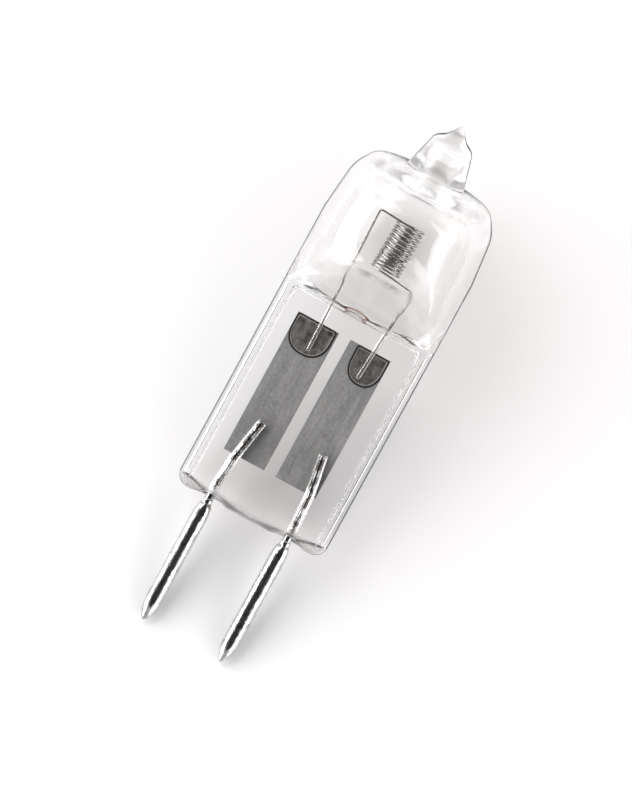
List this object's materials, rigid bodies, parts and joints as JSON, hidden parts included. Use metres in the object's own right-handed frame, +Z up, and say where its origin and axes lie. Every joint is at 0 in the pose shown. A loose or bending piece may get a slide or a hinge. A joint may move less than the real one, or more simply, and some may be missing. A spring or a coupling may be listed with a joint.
{
  "type": "halogen capsule bulb",
  "caption": "Clear quartz capsule lamp with an axial coiled filament, a flat pinch seal with foils, and two parallel contact pins.",
  "frame": {"origin": "on the resting plane, below the centre of the lamp's bounding box", "axes": "+Y from the pins towards the exhaust tip, along the lamp as it lies; +X across the pinch, from the left pin to the right pin; +Z up, out of the pinch's front face"},
  "size_m": [0.012, 0.042, 0.0122],
  "materials": {
    "quartz": "clear fused quartz, polished",
    "tungsten": "drawn tungsten wire, dark grey, satin",
    "molybdenum_foil": "etched thin foil, dull grey, mottled",
    "tab_metal": "welded foil, dark brown-grey, rough",
    "molybdenum_wire": "drawn wire, grey, satin",
    "pin_metal": "plated, bright"
  },
  "bodies": {
    "root": {"quartz_envelope": "quartz", "filament": "tungsten", "left_foil": "molybdenum_foil", "right_foil": "molybdenum_foil", "left_weld_tab": "tab_metal", "right_weld_tab": "tab_metal", "left_lead": "molybdenum_wire", "right_lead": "molybdenum_wire", "left_pin": "pin_metal", "right_pin": "pin_metal"}
  },
  "joints": []
}
